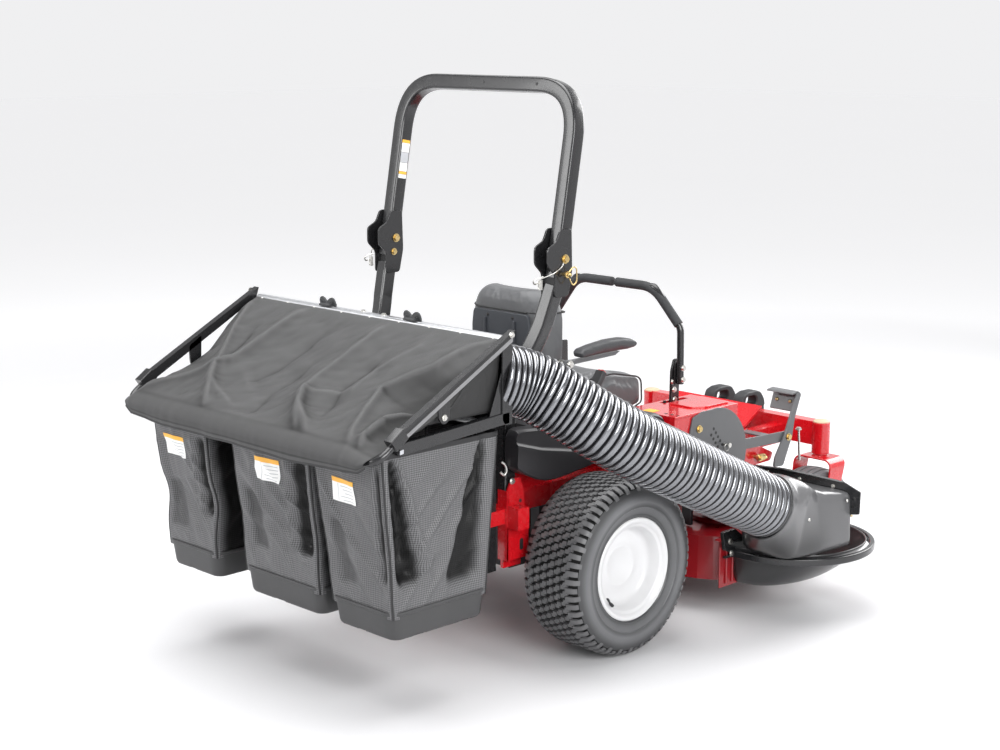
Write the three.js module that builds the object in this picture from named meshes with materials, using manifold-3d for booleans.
// Zero-turn ride-on mower with a side discharge boot, a suction hose and a
// three-bag rear catcher under a fabric hood.
// Millimetres. While modelling, X = 0 is the rear axle and points forward, Y = 0 is the
// machine's centreline and points to the operator's left, and Z = 0 is the ground.
// At the end the whole machine is moved so that the origin is the bottom centre of its box.
import * as THREE from "three";
import { mergeVertices } from "three/addons/utils/BufferGeometryUtils.js";
import Module from "manifold-3d";

const wasm = await Module();
wasm.setup();

// ---------- driving dimensions ----------
const GAP = 0.4; // clearance between pieces that touch
const SIDES = { left: 1, right: -1 };

const DRIVE = { radius: 290, halfWidth: 124, y: 525, bead: 160, barrel: 148 };
const CASTER = { x: 1310, y: 420, radius: 185, halfWidth: 65, trail: 50, bead: 75 };
const PIVOT_TUBE = { radius: 34, bottom: 419, top: 538 };
const RAIL = { inner: 215, outer: 265, bottom: 440, top: 510, rear: -320, front: 1290 };
const ENGINE = { x: -130, base: 448, cowlRadius: 122 };
const TANK = { rear: -235, tail: -330, front: 396, inner: 252, outer: 440, bottom: 605, tailTop: 766, top: 720 };
const SHELF = { outer: 424, bottom: 597, top: 604.5 };
const CONSOLE = { rear: 402, front: 745, inner: 245, outer: 460, bottom: 600, top: 700 };
const SEAT = { rear: 66, front: 505, base: 641, cushionTop: 826, backBottom: 806, backTop: 1142 };
const ROPS = { y: 403, footY: 345, tube: 50, hinge: [-118, 1285], lean: 10, rise: 544, corner: 165 };
const LEVER = { y: 300, x: 620, plate: 272, drivePivotZ: 668, swingPivotZ: 757, top: 1100 };
const DECK = { x: 740, centreX: 850, spindleY: 400, radius: 280, centreRadius: 226, bottom: 125, top: 280, wall: 6, side: -620 };
const BLADE = { radius: 204, width: 62, z: 150 };
const PULLEY = { radius: 72, bottom: 330, top: 352 };
const BOOT = { rear: 505, front: 796, side: -915, bottom: 262, top: 452, wall: 6 };
const BUMPER = { x: 788, y: -680, radius: 276, z: 238 };
const HOSE = { radius: 107, inner: 98 };
const CATCHER = { halfWidth: 605, front: -520, rear: -965, panelTop: 1086 };
const HOOD = { pivot: [-548, 1120], armInner: 606, armWidth: 25, halfWidth: 592 };

// Each bag's two sides, at its open top and at its foot.
const BAGS = {
  left: { top: [275, 574], foot: [288, 548] },
  centre: { top: [-240, 150], foot: [-235, 130] },
  right: { top: [-574, -250], foot: [-570, -300] },
};

// The hose's centre line, from the catcher's inlet to the boot's collar.
const HOSE_ROUTE = [
  [-462, -536, 962],
  [-412, -562, 946],
  [-345, -626, 893],
  [-238, -700, 808],
  [-109, -750, 727],
  [49, -781, 645],
  [227, -799, 555],
  [388, -803, 481],
  [462, -803, 446],
];

// ---------- materials ----------
const FINISHES = {
  red: { color: 0xb5121b, roughness: 0.3, metalness: 0.1 },
  blackSteel: { color: 0x17181a, roughness: 0.35, metalness: 0.4 },
  blackPlastic: { color: 0x202124, roughness: 0.5, metalness: 0 },
  whitePaint: { color: 0xe9e9e6, roughness: 0.35, metalness: 0 },
  rubber: { color: 0x1b1b1b, roughness: 0.85, metalness: 0 },
  fabric: { color: 0x2b2c2e, roughness: 0.95, metalness: 0 },
  vinyl: { color: 0x3a3b3d, roughness: 0.6, metalness: 0 },
  zinc: { color: 0xb9b39a, roughness: 0.35, metalness: 0.9 },
  aluminium: { color: 0xc9cbce, roughness: 0.4, metalness: 0.9 },
  castIron: { color: 0x2a2b2c, roughness: 0.7, metalness: 0.5 },
};
const machine = new THREE.Group();

// ---------- joining and cutting ----------
// A closed geometry as a manifold-3d solid, turned right side out when its faces point inwards.
function solid(geometry) {
  const bare = geometry.index ? geometry.toNonIndexed() : geometry.clone();
  bare.deleteAttribute("normal");
  bare.deleteAttribute("uv");
  const merged = mergeVertices(bare, 1e-3);
  const corners = [];
  const index = merged.index.array;
  for (let i = 0; i < index.length; i += 3) {
    const [a, b, c] = [index[i], index[i + 1], index[i + 2]];
    if (a !== b && b !== c && c !== a) corners.push(a, b, c);
  }
  const make = (triVerts) =>
    new wasm.Manifold(
      new wasm.Mesh({
        numProp: 3,
        vertProperties: new Float32Array(merged.attributes.position.array),
        triVerts: new Uint32Array(triVerts),
      }),
    );
  const made = make(corners);
  if (made.volume() >= 0) return made;
  const turned = [];
  for (let i = 0; i < corners.length; i += 3)
    turned.push(corners[i], corners[i + 2], corners[i + 1]);
  return make(turned);
}

const join = (...solids) => solids.reduce((sum, piece) => sum.add(piece));
const cut = (body, ...tools) => tools.reduce((rest, tool) => rest.subtract(tool), body);

// Adds one named sub-part to the machine.
function addPart(name, made, finish) {
  const mesh = made.getMesh();
  const geometry = new THREE.BufferGeometry();
  geometry.setAttribute("position", new THREE.BufferAttribute(new Float32Array(mesh.vertProperties), 3));
  geometry.setIndex(new THREE.BufferAttribute(new Uint32Array(mesh.triVerts), 1));
  geometry.computeVertexNormals();
  const part = new THREE.Mesh(geometry, new THREE.MeshStandardMaterial(FINISHES[finish]));
  part.name = name;
  machine.add(part);
}

// ---------- basic shapes, all as solids in machine coordinates ----------
const ordered = (a, b) => (a < b ? [a, b] : [b, a]);

function box([x0, x1], [y0, y1], [z0, z1]) {
  const geometry = new THREE.BoxGeometry(x1 - x0, Math.abs(y1 - y0), z1 - z0);
  return solid(geometry.translate((x0 + x1) / 2, (y0 + y1) / 2, (z0 + z1) / 2));
}

// A box on one side of the machine: inner and outer are distances from the centreline.
const sideBox = (side, xs, [inner, outer], zs) => box(xs, ordered(side * inner, side * outer), zs);

// A round bar along x, y or z, from one end to the other, centred on the other two coordinates.
function bar(axis, radius, [from, to], [u, v], sides = 16, endRadius = radius) {
  const geometry = new THREE.CylinderGeometry(endRadius, radius, Math.abs(to - from), sides);
  const middle = (from + to) / 2;
  if (axis === "y") return solid(geometry.translate(u, middle, v));
  if (axis === "z") return solid(geometry.rotateX(Math.PI / 2).translate(u, v, middle));
  return solid(geometry.rotateZ(-Math.PI / 2).translate(middle, u, v));
}

function outline(points) {
  return new THREE.Shape(points.map(([u, v]) => new THREE.Vector2(u, v)));
}

// A plate whose outline lies in the XZ plane and whose thickness runs along Y.
function plateXZ(points, [y0, y1]) {
  const [low, high] = ordered(y0, y1);
  const shape = points instanceof THREE.Shape ? points : outline(points);
  const options = { depth: high - low, bevelEnabled: false, curveSegments: 10 };
  const geometry = new THREE.ExtrudeGeometry(shape, options);
  return solid(geometry.rotateX(Math.PI / 2).translate(0, high, 0));
}

// A plate whose outline lies in the XY plane and whose thickness runs along Z.
function plateXY(points, [z0, z1], curveSegments = 10) {
  const shape = points instanceof THREE.Shape ? points : outline(points);
  const geometry = new THREE.ExtrudeGeometry(shape, { depth: z1 - z0, bevelEnabled: false, curveSegments });
  return solid(geometry.translate(0, 0, z0));
}

// A ring or disc turned about the Y axis at [x, y, z]: the profile is [radius, t] pairs, with t
// measured outwards from the part's own middle. A flat, not a corner, faces the ground.
function turnedAboutY(profile, [x, y, z], side, segments) {
  const halfTurn = Math.PI / segments;
  const points = profile.map(([r, t]) => new THREE.Vector2(r / Math.cos(halfTurn), t * side));
  return solid(new THREE.LatheGeometry(points, segments, halfTurn).translate(x, y, z));
}

// Straight lines between the points, with each inner corner rounded off.
function roundedPath(points, radius) {
  const at = points.map((p) => new THREE.Vector3(...p));
  const path = new THREE.CurvePath();
  let start = at[0];
  for (let i = 1; i < at.length - 1; i++) {
    const before = at[i].clone().lerp(at[i - 1], radius / at[i].distanceTo(at[i - 1]));
    const after = at[i].clone().lerp(at[i + 1], radius / at[i].distanceTo(at[i + 1]));
    path.add(new THREE.LineCurve3(start, before));
    path.add(new THREE.QuadraticBezierCurve3(before, at[i], after));
    start = after;
  }
  path.add(new THREE.LineCurve3(start, at[at.length - 1]));
  return path;
}

function roundSection(radius, sides, innerRadius = 0) {
  const circle = (r) =>
    Array.from({ length: sides }, (_, i) => {
      const turn = (2 * Math.PI * i) / sides;
      return new THREE.Vector2(r * Math.cos(turn), r * Math.sin(turn));
    });
  const shape = new THREE.Shape(circle(radius));
  if (innerRadius) shape.holes.push(new THREE.Path(circle(innerRadius)));
  return shape;
}

const squareSection = (width) => {
  const h = width / 2;
  return outline([[-h, -h], [h, -h], [h, h], [-h, h]]);
};

function tubeAlong(path, section, steps) {
  return solid(new THREE.ExtrudeGeometry(section, { steps, extrudePath: path, bevelEnabled: false }));
}

// A box whose top and bottom rectangles differ: each is [x0, x1, y0, y1].
function taperedBox(top, bottom, [z0, z1]) {
  const geometry = new THREE.BoxGeometry(1, 1, 1);
  const position = geometry.attributes.position;
  for (let i = 0; i < position.count; i++) {
    const [x0, x1, y0, y1] = position.getZ(i) > 0 ? top : bottom;
    const x = position.getX(i) > 0 ? x1 : x0;
    const y = position.getY(i) > 0 ? y1 : y0;
    position.setXYZ(i, x, y, position.getZ(i) > 0 ? z1 : z0);
  }
  return solid(geometry);
}

// ---------- chassis ----------
function sheetConsole(side) {
  const { rear, front, inner, outer, bottom, top } = CONSOLE;
  const skin = 8;
  const shell = cut(
    sideBox(side, [rear, front], [inner, outer], [bottom, top]),
    sideBox(side, [rear + skin, front - skin], [inner + skin, outer - skin], [bottom - 1, top - skin]),
    sideBox(side, [LEVER.x - 66, LEVER.x + 66], [LEVER.plate - 12, LEVER.plate + 12], [top - 20, top + 1]),
  );
  const hanger = sideBox(side, [rear, front], [inner, inner + skin], [RAIL.top - 5, bottom + 5]);
  return join(shell, hanger);
}

function mainFrame() {
  const pieces = [];
  for (const side of Object.values(SIDES)) {
    const { inner, outer, bottom, top, rear, front } = RAIL;
    pieces.push(sideBox(side, [rear, front], [inner, outer], [bottom, top]));
    pieces.push(bar("z", PIVOT_TUBE.radius, [PIVOT_TUBE.bottom, PIVOT_TUBE.top], [CASTER.x, side * CASTER.y], 20));
    pieces.push(sideBox(side, [60, 500], [200, 212], [bottom + 10, SEAT.base - 1]));
    pieces.push(sideBox(side, [60, 500], [200, 222], [bottom + 40, bottom + 60]));
    pieces.push(sideBox(side, [TANK.rear, CONSOLE.rear + 4], [TANK.inner - 4, SHELF.outer], [SHELF.bottom, SHELF.top]));
    pieces.push(sideBox(side, [-180, -150], [TANK.inner - 4, RAIL.outer], [top - 4, SHELF.bottom + 2]));
    pieces.push(sideBox(side, [280, 310], [TANK.inner - 4, RAIL.outer], [top - 4, SHELF.bottom + 2]));
    pieces.push(sideBox(side, [-315, -235], [345, 357], [300, bottom + 10]));
    pieces.push(sheetConsole(side));
  }
  pieces.push(box([-320, -270], [-430, 430], [RAIL.bottom, RAIL.top]));
  pieces.push(box([-275, 66], [-220, 220], [RAIL.bottom, ENGINE.base - GAP]));
  pieces.push(box([520, 570], [-220, 220], [RAIL.bottom, RAIL.top]));
  pieces.push(box([488, 500], [-206, 206], [RAIL.bottom + 10, SEAT.base - 1]));
  pieces.push(box([1285, 1335], [-400, 400], [450, 540]));
  pieces.push(box([1330, 1450], [-112, 112], [468, 480]));
  return join(...pieces);
}

function addChassis() {
  addPart("main_frame", mainFrame(), "red");
  const floor = [[576, 510.5], [1120, 510.5], [1222, 570], [1222, 580], [1118, 520], [576, 520]];
  addPart("footplate", plateXZ(floor, [-206, 206]), "red");
  const postYs = [330, 372];
  const mount = [box([-398, -321], [-372, 372], [452, 500])];
  for (const side of Object.values(SIDES)) mount.push(sideBox(side, [-360, -321], [328, 374], [380, 500]));
  addPart("catcher_mount", cut(join(...mount), ...Object.values(SIDES).map((side) =>
    sideBox(side, [-399, -359.6], postYs, [300, 560]))), "red");
}

function addEngine() {
  const { x, base, cowlRadius } = ENGINE;
  const block = [box([x - 100, x + 110], [-95, 95], [base, 606])];
  for (const side of Object.values(SIDES)) {
    block.push(sideBox(side, [x - 60, x + 80], [90, 180], [482, 590]));
    block.push(bar("y", 26, side > 0 ? [100, 190] : [-190, -100], [x - 30, 536], 12));
  }
  addPart("engine_block", join(...block), "castIron");
  const cowl = join(
    bar("z", cowlRadius, [606.5, 690], [x, 0], 18),
    bar("z", 88, [688, 712], [x, 0], 14, 60),
    box([x - 100, x + 100], [-100, 100], [606.5, 655]),
    bar("y", 46, [-128, 128], [x + 40, 752], 12),
    box([x + 10, x + 70], [-40, 40], [690, 730]),
  );
  addPart("engine_cowl", cowl, "blackPlastic");
  const muffler = join(
    bar("y", 44, [-150, 150], [-310, 585], 12),
    bar("x", 14, [-306, -232.5], [70, 560], 8),
    bar("x", 14, [-306, -232.5], [-70, 560], 8),
    bar("x", 15, [-385, -310], [110, 590], 8),
  );
  addPart("muffler", muffler, "blackSteel");
  const drive = [box([-80, 100], [-150, 150], [205, 395])];
  for (const side of Object.values(SIDES)) {
    const reach = (a, b) => (side > 0 ? [a, b] : [-b, -a]);
    drive.push(bar("y", 55, reach(140, 505), [0, DRIVE.radius], 12));
    drive.push(bar("y", 32, reach(500, 530), [0, DRIVE.radius], 10));
    drive.push(bar("y", 74, reach(524, 564.4), [0, DRIVE.radius], 16));
    drive.push(sideBox(side, [-50, 50], [220, 260], [300, RAIL.bottom - GAP]));
  }
  addPart("hydro_drive_axle", join(...drive), "castIron");
}

function addTanks() {
  for (const [name, side] of Object.entries(SIDES)) {
    const { rear, tail, front, inner, outer, bottom, tailTop, top } = TANK;
    const crest = [[front - 62, top], [rear, tailTop - 6]];
    const profile = [[rear, bottom], [front, bottom], [front, 692], ...crest];
    const tank = plateXZ(profile, [side * inner, side * outer]);
    const filler = bar("z", 40, [top - 2, top + 34], [250, side * 345], 16);
    // The outer wall wraps past the roll bar's foot and hangs below the shelf.
    const wrap = [[tail, 642], [-240, 592], [-197, 584], [-130, 586], [20, 599], [20, 640], [rear, 700]];
    const skirt = plateXZ(wrap, [side * 426, side * outer]);
    const corner = [[tail, 642], [rear + 2, 610], [rear + 2, tailTop - 6], [tail + 34, tailTop], [tail, 736]];
    const tailBlock = plateXZ(corner, [side * 380, side * outer]);
    addPart(`fuel_tank_${name}`, join(tank, filler, skirt, tailBlock), "blackPlastic");
  }
}

// ---------- wheels ----------
function tyreProfile(radius, halfWidth, bead) {
  const side = [
    [bead, halfWidth * 0.87], [bead + 12, halfWidth * 0.87],
    [bead + (radius - bead) * 0.5, halfWidth], [radius * 0.945, halfWidth * 0.91],
    [radius * 0.986, halfWidth * 0.74], [radius, halfWidth * 0.4],
  ];
  const other = side.map(([r, t]) => [r, -t]).reverse();
  return [...side, ...other, side[0]];
}

function driveRimProfile() {
  const { bead, barrel } = DRIVE;
  const lip = DRIVE.halfWidth * 0.87 + GAP; // just outside the tyre's bead
  const flange = bead + 10;
  return [
    [0, 50], [120, 52], [barrel + 2, lip - 5], [bead - 3, lip + 4], [flange, lip + 4],
    [flange, lip], [bead - GAP, lip], [bead - GAP, -lip], [flange, -lip],
    [flange, -lip - 4], [barrel, -lip - 4], [barrel, 40], [0, 40],
  ];
}

function addDriveWheels() {
  for (const [name, side] of Object.entries(SIDES)) {
    const centre = [0, side * DRIVE.y, DRIVE.radius];
    const tyre = turnedAboutY(tyreProfile(DRIVE.radius, DRIVE.halfWidth, DRIVE.bead), centre, side, 26);
    addPart(`drive_tyre_${name}`, tyre, "rubber");
    addPart(`drive_rim_${name}`, turnedAboutY(driveRimProfile(), centre, side, 26), "whitePaint");
  }
}

function casterFork(side) {
  const { x, y, halfWidth, radius, trail } = CASTER;
  const middle = side * y;
  const legInner = halfWidth + 14;
  const legOuter = legInner + 7;
  const axleX = x - trail;
  const crown = PIVOT_TUBE.bottom - 9;
  const leg = [
    [x - 50, crown - 12], [axleX - 30, radius], [axleX - 16, radius - 30], [axleX + 16, radius - 30],
    [axleX + 30, radius], [x + 44, crown - 12], [x + 44, crown], [x - 50, crown],
  ];
  return join(
    plateXZ(leg, [middle + legInner, middle + legOuter]),
    plateXZ(leg, [middle - legOuter, middle - legInner]),
    box([x - 50, x + 44], [middle - legOuter, middle + legOuter], [crown - 8, crown]),
    bar("z", 28, [crown - 1, PIVOT_TUBE.bottom - GAP], [x, middle], 16),
    bar("y", 9, [middle - legInner - 2, middle + legInner + 2], [axleX, radius], 12),
  );
}

function addCasters() {
  const { x, y, radius, halfWidth, bead, trail } = CASTER;
  for (const [name, side] of Object.entries(SIDES)) {
    const centre = [x - trail, side * y, radius];
    addPart(`caster_fork_${name}`, casterFork(side), "red");
    addPart(`caster_tyre_${name}`, turnedAboutY(tyreProfile(radius, halfWidth, bead), centre, side, 18), "rubber");
    const hub = [
      [9.4, 76], [26, 76], [30, 42], [bead - GAP, 50],
      [bead - GAP, -50], [30, -42], [26, -76], [9.4, -76], [9.4, 76],
    ];
    addPart(`caster_hub_${name}`, turnedAboutY(hub, centre, side, 18), "whitePaint");
  }
}

// ---------- roll bar ----------
// The upright bends forwards and outwards from its foot on the rear cross member to the hinge.
function ropsUpright(side) {
  const [hingeX, hingeZ] = ROPS.hinge;
  const half = ROPS.tube / 2;
  const y = side * ROPS.y;
  const top = hingeZ - 84;
  const route = [
    [-295, y, RAIL.top + GAP], [-295, y, 780], [-262, y, 880], [-180, y, 1040], [hingeX - 14, y, top],
  ];
  const section = squareSection(ROPS.tube);
  const geometry = new THREE.ExtrudeGeometry(section, {
    steps: 16,
    extrudePath: roundedPath(route, 50),
    bevelEnabled: false,
  });
  const position = geometry.attributes.position;
  for (let i = 0; i < position.count; i++) {
    const inward = THREE.MathUtils.clamp((1150 - position.getZ(i)) / 250, 0, 1);
    position.setY(i, position.getY(i) - side * inward * (ROPS.y - ROPS.footY));
  }
  const ear = [
    [hingeX - 44, hingeZ - 118], [hingeX - 44, hingeZ - 46], [hingeX - 78, hingeZ - 14],
    [hingeX - 78, hingeZ + 40], [hingeX - 40, hingeZ + 58], [hingeX - 22, hingeZ + 96],
    [hingeX + 30, hingeZ + 96], [hingeX + 34, hingeZ - 40], [hingeX + 16, hingeZ - 118],
  ];
  const inner = [y - half - 6.5, y - half - 0.5];
  const outer = [y + half + 0.5, y + half + 6.5];
  const weld = box([hingeX - 36, hingeX + 8], [y - half - 3, y + half + 3], [hingeZ - 112, hingeZ - 86]);
  return join(solid(geometry), plateXZ(ear, inner), plateXZ(ear, outer), weld);
}

function ropsHoop() {
  const { y, tube, hinge, lean, rise, corner } = ROPS;
  const route = [[0, -y, -60], [0, -y, rise], [0, y, rise], [0, y, -60]];
  const section = squareSection(tube);
  const geometry = new THREE.ExtrudeGeometry(section, {
    steps: 30,
    extrudePath: roundedPath(route, corner),
    bevelEnabled: false,
  });
  geometry.rotateY(THREE.MathUtils.degToRad(lean));
  return solid(geometry.translate(hinge[0], 0, hinge[1]));
}

function addRollBar() {
  const [hingeX, hingeZ] = ROPS.hinge;
  addPart("rops_hoop", ropsHoop(), "blackSteel");
  for (const [name, side] of Object.entries(SIDES)) {
    addPart(`rops_upright_${name}`, ropsUpright(side), "blackSteel");
    const start = ROPS.y + ROPS.tube / 2 + 7;
    const reach = (a, b) => (side > 0 ? [a, b] : [-b, -a]);
    const pin = join(
      bar("y", 6, reach(start, start + 34), [hingeX - 8, hingeZ - 45], 10),
      bar("y", 11, reach(start + 14, start + 20), [hingeX - 8, hingeZ - 45], 10),
    );
    addPart(`rops_pin_${name}`, pin, "zinc");
  }
}

// ---------- seat ----------
// A bucket back: a curved plan shape, cut to rounded shoulders.
function backrest() {
  const { backBottom, backTop } = SEAT;
  const halfPlan = [[31, 136], [62, 176], [138, 200], [152, 184], [126, 110]];
  const plan = [...halfPlan, ...halfPlan.map(([x, y]) => [x, -y]).reverse()];
  const face = new THREE.Shape();
  face.moveTo(-210, backBottom - 6).lineTo(210, backBottom - 6).lineTo(210, backTop - 110);
  face.absarc(100, backTop - 110, 110, 0, Math.PI / 2, false);
  face.absarc(-100, backTop - 110, 110, Math.PI / 2, Math.PI, false);
  const slab = new THREE.ExtrudeGeometry(face, { depth: 200, bevelEnabled: false, curveSegments: 5 });
  const front = solid(slab.rotateX(Math.PI / 2).rotateZ(Math.PI / 2).translate(0, 0, 0));
  return plateXY(plan, [backBottom, backTop]).intersect(front);
}

function addSeat() {
  const { rear, front, base, cushionTop, backTop } = SEAT;
  const pan = [box([rear, front], [-205, 205], [base, base + 10])];
  for (const side of Object.values(SIDES)) {
    pan.push(sideBox(side, [22, 30], [70, 110], [base, 930]));
    pan.push(sideBox(side, [22, 78], [70, 110], [base, base + 10]));
  }
  addPart("seat_pan", join(...pan), "blackSteel");
  const cushion = [
    [102, 652], [440, 652], [500, 688], [531, 696], [526, 775], [506, 796],
    [372, cushionTop], [250, cushionTop - 4], [140, cushionTop - 26], [102, 770],
  ];
  addPart("seat_cushion", plateXZ(cushion, [-212, 212]), "vinyl");
  addPart("seat_backrest", backrest(), "vinyl");
  for (const [name, side] of Object.entries(SIDES)) {
    const pad = [[138, 910], [380, 914], [420, 922], [426, 938], [380, 951], [160, 944], [138, 934]];
    const reach = side > 0 ? [200.6, 230] : [-230, -200.6];
    const rest = join(
      plateXZ(pad, [side * 226, side * 272]),
      sideBox(side, [92, 330], [226, 250], [889, 913]),
      bar("y", 12, reach, [104, 895], 12),
    );
    addPart(`armrest_${name}`, rest, "vinyl");
  }
}

// ---------- steering levers ----------
function addLevers() {
  const { x, y, plate, drivePivotZ, swingPivotZ, top } = LEVER;
  for (const [name, side] of Object.entries(SIDES)) {
    const bracket = [
      [x - 26, drivePivotZ - 16], [x + 4, drivePivotZ - 24], [x + 22, drivePivotZ], [x + 20, 850],
      [x - 14, 850], [x - 20, 720],
    ];
    addPart(`lever_bracket_${name}`, plateXZ(bracket, [side * (plate - 4), side * (plate + 4)]), "blackSteel");
    const lower = roundedPath(
      [[x, side * y, swingPivotZ - 7], [x - 4, side * y, 965], [x - 18, side * 193, top], [x - 18, side * 175, top]],
      16,
    );
    const grip = roundedPath(
      [[x - 5, side * (y - 8), 975], [x - 18, side * 185, top], [x - 18, side * 12, top]],
      50,
    );
    const lever = join(
      tubeAlong(lower, roundSection(12.5, 8), 8),
      tubeAlong(grip, roundSection(16.5, 8), 9),
    );
    addPart(`steering_lever_${name}`, lever, "blackSteel");
  }
}

// ---------- deck lift controls ----------
function addLiftControls() {
  const faceY = -(CONSOLE.outer + GAP);
  const arc = [];
  for (let step = 0; step <= 9; step++) {
    const turn = THREE.MathUtils.degToRad(98 - step * 14);
    arc.push([620 + 172 * Math.cos(turn), 530 + 172 * Math.sin(turn)]);
  }
  const plate = plateXZ([[520, 500], [490, 560], [478, 640], [486, 690], ...arc], [faceY - 6, faceY]);
  const pinHole = bar("y", 8, [faceY - 8, faceY + 2], [664, 566], 12);
  addPart("cut_height_plate", cut(plate, pinHole), "blackSteel");
  const pin = join(
    bar("y", 5, [faceY - 30, faceY - 1], [664, 566], 10),
    bar("y", 9, [faceY - 34, faceY - 28], [664, 566], 12),
  );
  addPart("cut_height_pin", pin, "zinc");
  const stay = plateXZ([[700, 528], [1062, 516], [1062, 552], [700, 566]], [faceY + 1, faceY + 7]);
  const foot = box([1020, 1062], [faceY + 2, -RAIL.outer + 4], [516, 522]);
  const root = box([1020, 1062], [-RAIL.outer - 6, -RAIL.outer + 4], [510.5, 522]);
  addPart("pedal_stay", join(stay, foot, root), "blackSteel");
  const armY = faceY - GAP;
  const arm = [
    [1002, 452], [1030, 452], [1062, 530], [1076, 600], [1110, 682], [1088, 690],
    [1050, 608], [1020, 544],
  ];
  const pad = [[1080, 618], [1088, 614], [1112, 672], [1092, 690], [1084, 684]];
  const pedal = join(
    plateXZ(arm, [armY - 8, armY]),
    plateXZ(pad, [armY - 4, armY + 112]),
  );
  addPart("lift_pedal", pedal, "blackSteel");
}

// ---------- counterweights ----------
function addWeights() {
  for (const [name, side] of Object.entries(SIDES)) {
    const shape = new THREE.Shape();
    shape.moveTo(1242, 541).lineTo(1336, 541).lineTo(1336, 480.5).lineTo(1446, 480.5).lineTo(1446, 560);
    shape.absarc(1398, 560, 48, 0, Math.PI / 2, false);
    shape.absarc(1290, 560, 48, Math.PI / 2, Math.PI, false);
    const hole = new THREE.Path();
    hole.absarc(1292, 573, 20, -Math.PI / 2, Math.PI / 2, true);
    hole.absarc(1396, 573, 20, Math.PI / 2, -Math.PI / 2, true);
    shape.holes.push(hole);
    addPart(`front_weight_${name}`, plateXZ(shape, [side * 46, side * 96]), "castIron");
  }
}

// ---------- cutting deck ----------
// The middle spindle stands ahead of the outer two, so that the three cuts overlap.
const spindleAt = (row) => [row ? DECK.x : DECK.centreX, row * DECK.spindleY];

function deckOutline(inset, [z0, z1]) {
  const { x, centreX, spindleY } = DECK;
  const radius = DECK.radius - inset;
  const centreRadius = DECK.centreRadius - inset;
  const discs = [-1, 1].map((side) => bar("z", radius, [z0, z1], [x, side * spindleY], 32));
  const centre = bar("z", centreRadius, [z0, z1], [centreX, 0], 24);
  const middle = box([x - radius + 30, centreX], [-spindleY, spindleY], [z0, z1]);
  const front = [
    [centreX - 20, -spindleY - 60], [x + radius - 10, -spindleY - 60], [centreX + centreRadius - 6, -70],
    [centreX + centreRadius - 6, 70], [x + radius - 10, spindleY + 60], [centreX - 20, spindleY + 60],
  ];
  return join(...discs, centre, middle, plateXY(front, [z0, z1]));
}

function deckShell() {
  const { bottom, top, wall, side } = DECK;
  const beyond = box([0, 1500], [side - 400, side], [0, 600]);
  const rows = [-1, 0, 1].map(spindleAt);
  const bosses = rows.map((at) => bar("z", 52, [top - 2, 318], at, 14));
  const bores = rows.map((at) => bar("z", 20, [top - 30, 320], at, 10));
  const shell = cut(deckOutline(0, [bottom, top]), deckOutline(wall, [bottom - 1, top - wall]), beyond);
  return cut(join(shell, ...bosses), ...bores);
}

// The belt runs round the outside of the three pulleys.
function beltLoop() {
  const { x, centreX, spindleY } = DECK;
  const turn = Math.atan2(centreX - x, spindleY);
  const loop = (radius) => {
    const shape = new THREE.Shape();
    shape.absarc(x, -spindleY, radius, Math.PI, 2 * Math.PI - turn, false);
    shape.absarc(centreX, 0, radius, -turn, turn, false);
    shape.absarc(x, spindleY, radius, turn, Math.PI, false);
    return shape;
  };
  const outer = loop(PULLEY.radius + 11);
  const inner = loop(PULLEY.radius + 0.5);
  return cut(plateXY(outer, [333, 349], 8), plateXY(inner, [330, 352], 8));
}

function addDeck() {
  addPart("deck_shell", deckShell(), "red");
  addPart("deck_belt", beltLoop(), "rubber");
  for (const [name, row] of [["left", 1], ["centre", 0], ["right", -1]]) {
    const [x, y] = spindleAt(row);
    const spindle = join(
      bar("z", 17, [BLADE.z + 6.5, PULLEY.top + 14], [x, y], 10),
      bar("z", PULLEY.radius, [PULLEY.bottom, PULLEY.top], [x, y], 18),
      bar("z", 40, [BLADE.z + 20, BLADE.z + 28], [x, y], 10),
    );
    addPart(`spindle_${name}`, spindle, "castIron");
    const half = BLADE.width / 2;
    const blade = [
      [-BLADE.radius, -half], [BLADE.radius - 60, -half], [BLADE.radius, -half + 14],
      [BLADE.radius, half], [-BLADE.radius + 60, half], [-BLADE.radius, half - 14],
    ].map(([u, v]) => [x + v, y + u]);
    addPart(`blade_${name}`, plateXY(blade, [BLADE.z, BLADE.z + 6]), "blackSteel");
  }
}

// ---------- discharge boot ----------
// A round bar along the hose's first or last stretch: from and to are distances beyond that
// end of the hose, so negative ones lie inside it.
function atHoseEnd([end, before], radius, [from, to], sides = 16) {
  const tip = new THREE.Vector3(...end);
  const along = tip.clone().sub(new THREE.Vector3(...before)).normalize();
  const geometry = new THREE.CylinderGeometry(radius, radius, to - from, sides);
  geometry.applyQuaternion(new THREE.Quaternion().setFromUnitVectors(new THREE.Vector3(0, 1, 0), along));
  return solid(geometry.translate(...tip.addScaledVector(along, (from + to) / 2).toArray()));
}
const HOSE_TOP = HOSE_ROUTE.slice(0, 2);
const HOSE_FOOT = HOSE_ROUTE.slice(-2).reverse();

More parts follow.
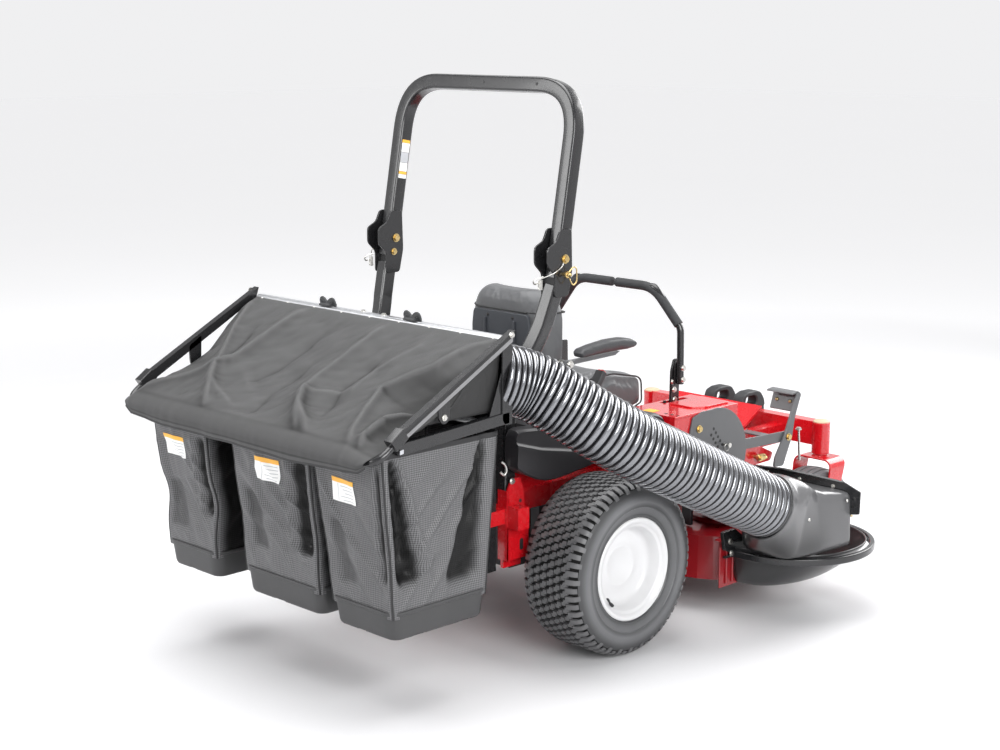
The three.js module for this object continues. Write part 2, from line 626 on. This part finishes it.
function dischargeBoot() {
  const { rear, front, side, bottom, top, wall } = BOOT;
  const body = (inset) => plateXZ(
    [
      [rear + 40 + inset, bottom - (inset ? 2 : 0)], [front - inset, bottom - (inset ? 2 : 0)],
      [front - inset, top - inset], [rear + 130, top + 4 - inset],
      [rear - 20 + inset, 400 - inset], [rear - 44 + inset, 330],
    ],
    [side + inset, DECK.side - 4 + (inset ? 10 : 0)],
  );
  const baffle = join(
    box([front - 1, front + 5], [side - 36, -505], [300, 470]),
    box([front - 1, front + 5], [side + 20, DECK.side - 4], [bottom, 310]),
  );
  const collar = atHoseEnd(HOSE_FOOT, HOSE.inner - 6, [-52, 60]);
  const passage = atHoseEnd(HOSE_FOOT, HOSE.inner - 11, [-60, 75]);
  return cut(join(body(0), baffle, collar), body(wall), passage);
}

function addDischarge() {
  addPart("discharge_boot", dischargeBoot(), "blackPlastic");
  const centre = [775, -660];
  const beyond = box([300, 1200], [DECK.side - GAP, -200], [60, 300]);
  const bowl = cut(
    bar("z", 162, [118, BOOT.bottom - GAP], centre, 28, 246),
    bar("z", 155, [124, BOOT.bottom + 12], centre, 28, 250),
    beyond,
  );
  addPart("boot_bowl", bowl, "blackPlastic");
  const ring = [[524, -612], [510, -640]];
  for (let turn = 182; turn <= 358; turn += 22) {
    const angle = THREE.MathUtils.degToRad(turn);
    ring.push([BUMPER.x + BUMPER.radius * Math.cos(angle), BUMPER.y + BUMPER.radius * Math.sin(angle)]);
  }
  ring.push([1040, -618], [980, -590]);
  const hoop = new THREE.CatmullRomCurve3(ring.map(([x, y]) => new THREE.Vector3(x, y, BUMPER.z)));
  addPart("boot_bumper", tubeAlong(hoop, squareSection(20), 24), "blackSteel");
  const knob = join(
    bar("x", 7, [BOOT.front + 5.6, BOOT.front + 34], [-884, 362], 12),
    box([BOOT.front + 20, BOOT.front + 30], [-908, -860], [358, 366]),
  );
  addPart("boot_wing_knob", knob, "zinc");
  const route = new THREE.CatmullRomCurve3(HOSE_ROUTE.map((p) => new THREE.Vector3(...p)));
  addPart("suction_hose", tubeAlong(route, roundSection(HOSE.radius, 12, HOSE.inner), 13), "blackPlastic");
}

// ---------- rear catcher ----------
function catcherFrame() {
  const { halfWidth, front, rear, panelTop } = CATCHER;
  const pieces = [];
  for (const side of Object.values(SIDES)) {
    const rail = [[rear, 821], [front - 40, 848], [front - 40, 882], [rear, 855]];
    pieces.push(plateXZ(rail, [side * (halfWidth - 25), side * halfWidth]));
    pieces.push(sideBox(side, [front - 41, front], [halfWidth - 25, halfWidth], [847, panelTop]));
    const gusset = [[front - 41, 1050], [front - 41, 878], [front - 118, 873]];
    pieces.push(plateXZ(gusset, [side * (halfWidth - 8), side * (halfWidth - 2)]));
    pieces.push(sideBox(side, [rear, front], [194, 200], [826, 842]));
    pieces.push(sideBox(side, [-398, -360], [330.6, 371.4], [304, 1000]));
    pieces.push(sideBox(side, [front - 4, -358], [330.6, 371.4], [960, 1000]));
    pieces.push(sideBox(side, [front - 4, -358], [330.6, 371.4], [846, 880]));
  }
  pieces.push(box([front - 25, front], [-halfWidth + 5, halfWidth - 5], [846, 882]));
  pieces.push(box([front - 6, front], [-halfWidth + 5, halfWidth - 5], [880, panelTop]));
  pieces.push(bar("y", 10, [-halfWidth + 5, halfWidth - 5], [rear + 6, 833], 10));
  const behind = box([front - 200, front - 3], [-halfWidth + 30, -halfWidth + 280], [830, panelTop + 30]);
  pieces.push(cut(atHoseEnd(HOSE_TOP, HOSE.inner - 7, [-24, 110]), behind));
  return cut(join(...pieces), atHoseEnd(HOSE_TOP, HOSE.inner - 12, [-40, 140]));
}

function hoodFrame() {
  const [pivotX, pivotZ] = HOOD.pivot;
  const y = HOOD.armInner + HOOD.armWidth / 2;
  const pieces = [];
  for (const side of Object.values(SIDES)) {
    const arm = [[pivotX + 14, pivotZ + 14], [pivotX + 2, pivotZ - 22], [-1008, 850], [-1018, 878]];
    pieces.push(plateXZ(arm, [side * HOOD.armInner, side * (HOOD.armInner + HOOD.armWidth)]));
    const tab = [[-776, 996], [-826, 966], [-818, 900], [-798, 892], [-782, 906]];
    pieces.push(plateXZ(tab, [side * HOOD.armInner, side * (HOOD.armInner + 6)]));
  }
  const route = [
    [-990, -y, 868], [-1048, -y, 828], [-1066, -y + 40, 812], [-1066, y - 40, 812],
    [-1048, y, 828], [-990, y, 868],
  ];
  pieces.push(tubeAlong(roundedPath(route, 24), roundSection(11, 6), 22));
  return join(...pieces);
}

// The hood's fabric: one bent sheet from the top bar back over the rear tube, with side gussets.
function hoodFabric() {
  const sheet = [
    [-549, 1100], [-1056, 848], [-1092, 822], [-1094, 782], [-1088, 782], [-1085, 818],
    [-1052, 840], [-549, 1093],
  ];
  const gusset = [[-566, 1090], [-566, 892], [-700, 888], [-930, 886], [-930, 906]];
  const { halfWidth } = HOOD;
  const pieces = [plateXZ(sheet, [-halfWidth, halfWidth])];
  for (const side of Object.values(SIDES))
    pieces.push(plateXZ(gusset, [side * (halfWidth - 22), side * (halfWidth - 17)]));
  return join(...pieces);
}

function bag({ top, foot }) {
  const upper = [-1008, -546, ...top];
  const lower = [-962, -600, ...foot];
  const wall = 6;
  const shrink = ([x0, x1, y0, y1]) => [x0 + wall, x1 - wall, y0 + wall, y1 - wall];
  const outside = taperedBox(upper, lower, [262, 818]);
  return cut(outside, taperedBox(shrink(upper), shrink(lower), [270, 819]));
}

function addCatcher() {
  addPart("catcher_frame", catcherFrame(), "blackSteel");
  const { front, halfWidth } = CATCHER;
  addPart("hood_top_bar", box([front - 24, front - 1], [-halfWidth + 4, halfWidth - 4], [1086.5, 1110]), "aluminium");
  addPart("hood_frame", hoodFrame(), "blackSteel");
  addPart("hood_fabric", hoodFabric(), "fabric");
  for (const [name, widths] of Object.entries(BAGS)) addPart(`grass_bag_${name}`, bag(widths), "fabric");
}

// ---------- assembly ----------
addChassis();
addEngine();
addTanks();
addDriveWheels();
addCasters();
addRollBar();
addSeat();
addLevers();
addLiftControls();
addWeights();
addDeck();
addDischarge();
addCatcher();

const extent = new THREE.Box3().setFromObject(machine);
const middle = extent.getCenter(new THREE.Vector3());
machine.position.set(-middle.x, -middle.y, -extent.min.z);

export default new THREE.Group().add(machine);
